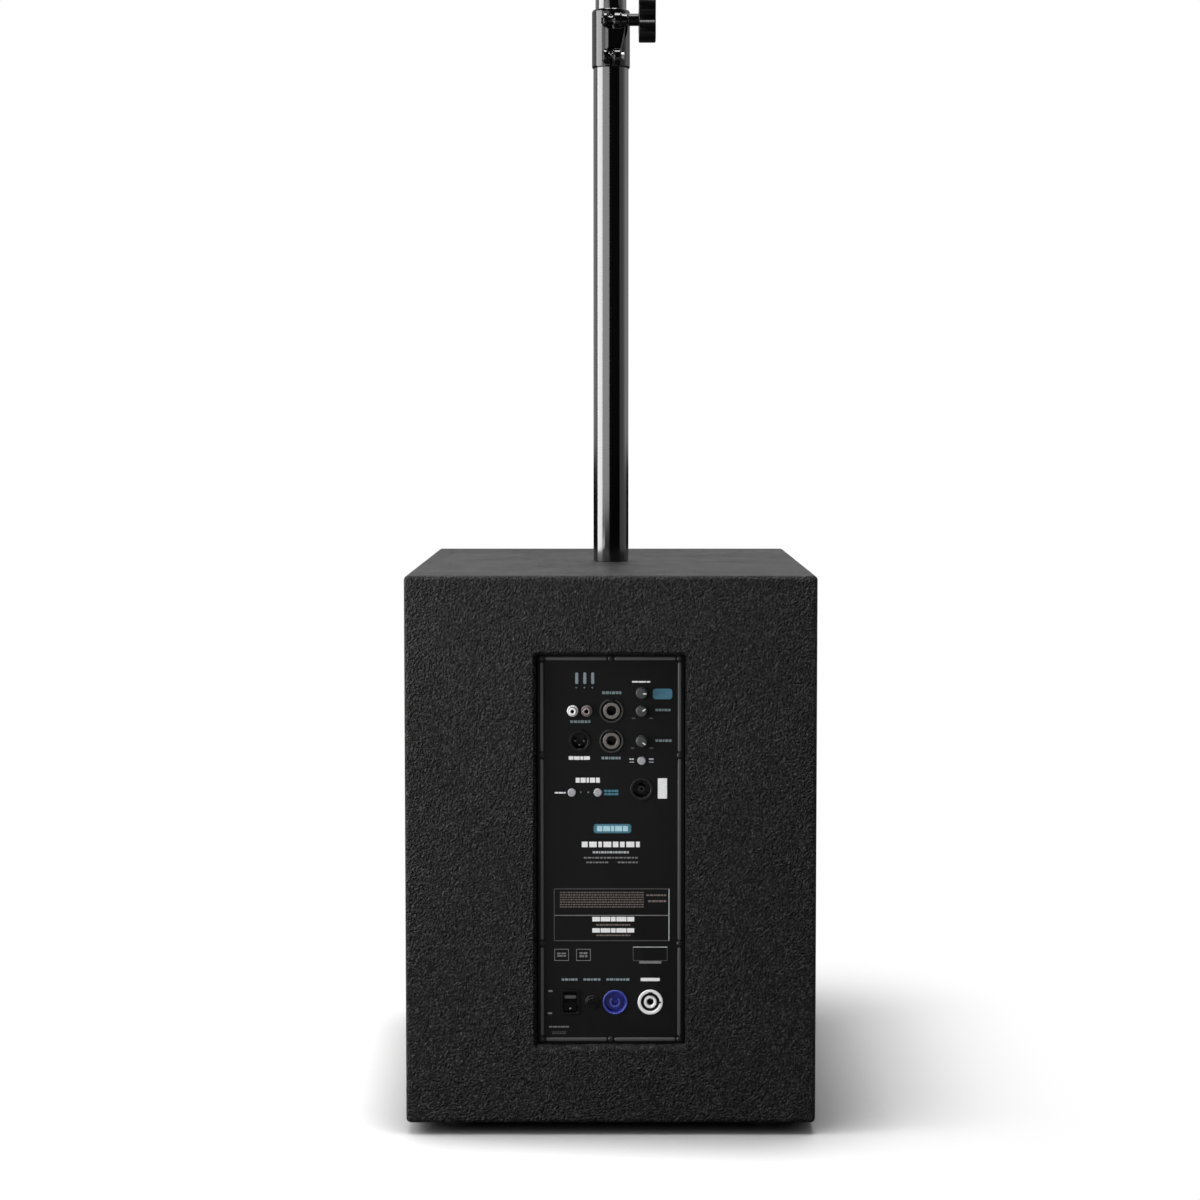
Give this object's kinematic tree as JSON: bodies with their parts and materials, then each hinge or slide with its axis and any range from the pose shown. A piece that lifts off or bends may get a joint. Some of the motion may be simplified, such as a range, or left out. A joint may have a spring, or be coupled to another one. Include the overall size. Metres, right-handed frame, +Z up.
{
  "type": "pa speaker",
  "caption": "Active bass cabinet with a recessed amplifier plate, side handles, a steel grille over woofer and ports, and a clamped telescoping pole for a satellite speaker.",
  "frame": {"origin": "on the floor under the middle of the cabinet", "axes": "+Z up along the pole; +Y towards the grille (the front); -Y towards the amplifier plate (the rear)"},
  "size_m": [0.41, 0.45, 1.3148],
  "materials": {
    "shell": "textured black paint on birch plywood",
    "ply": "bare birch plywood",
    "rubber": "matt black rubber",
    "screw_black": "black zinc",
    "plastic_black": "moulded black plastic",
    "grille_steel": "black powder coat",
    "foam": "open-cell black foam",
    "socket_steel": "black enamel on steel",
    "basket_steel": "black enamel on pressed steel",
    "soft_iron": "zinc plated",
    "ferrite": "bare ferrite",
    "spider_cloth": "resin-dipped woven cloth",
    "surround_rubber": "butyl rubber",
    "paper": "pressed paper",
    "copper": "enamelled copper wire",
    "cable_red": "PVC insulation",
    "plate_paint": "satin black paint on steel",
    "gasket_foam": "closed-cell foam tape",
    "aluminium": "mill finish extrusion",
    "board": "solder-masked circuit board",
    "transformer_tape": "polyester tape over copper",
    "control_bodies": "phenolic and steel",
    "jack_grey": "moulded grey plastic",
    "rca_plastic": "coloured plastic and nickel",
    "inlet_blue": "moulded blue plastic",
    "outlet_white": "moulded pale plastic",
    "light_lens": "clear epoxy",
    "knob_plastic": "moulded dark plastic",
    "button_white": "moulded white plastic",
    "pole_steel": "glossy black powder coat on steel",
    "clamp_steel": "satin black powder coat",
    "zinc_steel": "zinc plated"
  },
  "bodies": {
    "cabinet": {"top_panel": "shell", "bottom_panel": "shell", "left_panel": "shell", "right_panel": "shell", "rear_panel": "shell", "front_baffle": "shell", "cabinet_brace": "ply", "amp_mount_frame": "ply", "grille_battens": "shell", "rubber_feet": "rubber", "cabinet_screws": "screw_black", "handle_cups": "plastic_black", "handle_grips": "rubber", "grille": "grille_steel", "grille_foam": "foam", "pole_socket": "socket_steel", "woofer_basket": "basket_steel", "woofer_top_plate": "soft_iron", "woofer_magnet": "ferrite", "woofer_yoke": "soft_iron", "woofer_spider": "spider_cloth", "woofer_surround": "surround_rubber", "woofer_screws": "screw_black", "port_tubes": "plastic_black", "speaker_lead": "cable_red", "amp_plate": "plate_paint", "amp_gasket": "gasket_foam", "amp_screws": "screw_black", "amp_heatsink": "aluminium", "amplifier_board": "board", "input_board": "board", "power_transformer": "transformer_tape", "panel_controls": "control_bodies", "combo_jacks": "jack_grey", "xlr_output": "plastic_black", "rca_jacks": "rca_plastic", "speaker_output": "plastic_black", "mains_inlet": "inlet_blue", "mains_outlet": "outlet_white", "fuse_holder": "plastic_black", "indicator_lights": "light_lens", "switch_frame": "plastic_black"},
    "pole": {"pole_lower_tube": "pole_steel", "pole_spigot": "plastic_black", "clamp_collar": "clamp_steel", "clamp_hardware": "zinc_steel"},
    "upper_pole": {"pole_upper_tube": "pole_steel", "satellite_adapter": "plastic_black"},
    "clamp_knob": {"clamp_knob": "plastic_black"},
    "power_rocker": {"power_rocker": "plastic_black"},
    "mode_knob": {"mode_knob": "knob_plastic"},
    "mic_level_knob": {"mic_level_knob": "knob_plastic"},
    "line_level_knob": {"line_level_knob": "knob_plastic"},
    "phase_button": {"phase_button": "button_white"},
    "pair_button": {"pair_button": "button_white"},
    "play_button": {"play_button": "button_white"},
    "cone": {"woofer_cone": "paper", "dust_cap": "paper", "voice_coil": "copper"},
    "fuse_cap": {"fuse_cap": "plastic_black"}
  },
  "joints": [
    {"name": "pole_lift", "type": "slide", "parent": "cabinet", "child": "pole", "axis": [0, 0, 1], "range_m": [0, 0.085]},
    {"name": "pole_extend", "type": "slide", "parent": "pole", "child": "upper_pole", "axis": [0, 0, 1], "range_m": [-0.065, 0.35]},
    {"name": "clamp_knob_turn", "type": "hinge", "parent": "pole", "child": "clamp_knob", "pos_m": [0, -0.028, 1.1403], "axis": [1, 0, 0], "range_deg": [0, 540]},
    {"name": "rocker_tilt", "type": "hinge", "parent": "cabinet", "child": "power_rocker", "pos_m": [-0.0405, -0.213, 0.13225], "axis": [1, 0, 0], "range_deg": [0, 24]},
    {"name": "mode_turn", "type": "hinge", "parent": "cabinet", "child": "mode_knob", "pos_m": [0.0308, -0.214, 0.44425], "axis": [0, -1, 0], "range_deg": [-60, 240]},
    {"name": "mic_level_turn", "type": "hinge", "parent": "cabinet", "child": "mic_level_knob", "pos_m": [0.0308, -0.214, 0.42625], "axis": [0, -1, 0], "range_deg": [-95, 205]},
    {"name": "line_level_turn", "type": "hinge", "parent": "cabinet", "child": "line_level_knob", "pos_m": [0.0308, -0.214, 0.39605], "axis": [0, -1, 0], "range_deg": [-25, 275]},
    {"name": "phase_push", "type": "slide", "parent": "cabinet", "child": "phase_button", "axis": [0, 1, 0], "range_m": [0, 0.0015], "stiffness_N_per_m": 800, "springref_m": -0.0008},
    {"name": "pair_push", "type": "slide", "parent": "cabinet", "child": "pair_button", "axis": [0, 1, 0], "range_m": [0, 0.0015], "stiffness_N_per_m": 800, "springref_m": -0.0008},
    {"name": "play_push", "type": "slide", "parent": "cabinet", "child": "play_button", "axis": [0, 1, 0], "range_m": [0, 0.0015], "stiffness_N_per_m": 800, "springref_m": -0.0008},
    {"name": "cone_travel", "type": "slide", "parent": "cabinet", "child": "cone", "axis": [0, 1, 0], "range_m": [-0.006, 0.006], "stiffness_N_per_m": 3200, "deforming": ["woofer_surround", "woofer_spider"]},
    {"name": "fuse_cap_turn", "type": "hinge", "parent": "cabinet", "child": "fuse_cap", "pos_m": [-0.0188, -0.214, 0.13225], "axis": [0, -1, 0], "range_deg": [0, 90]}
  ]
}
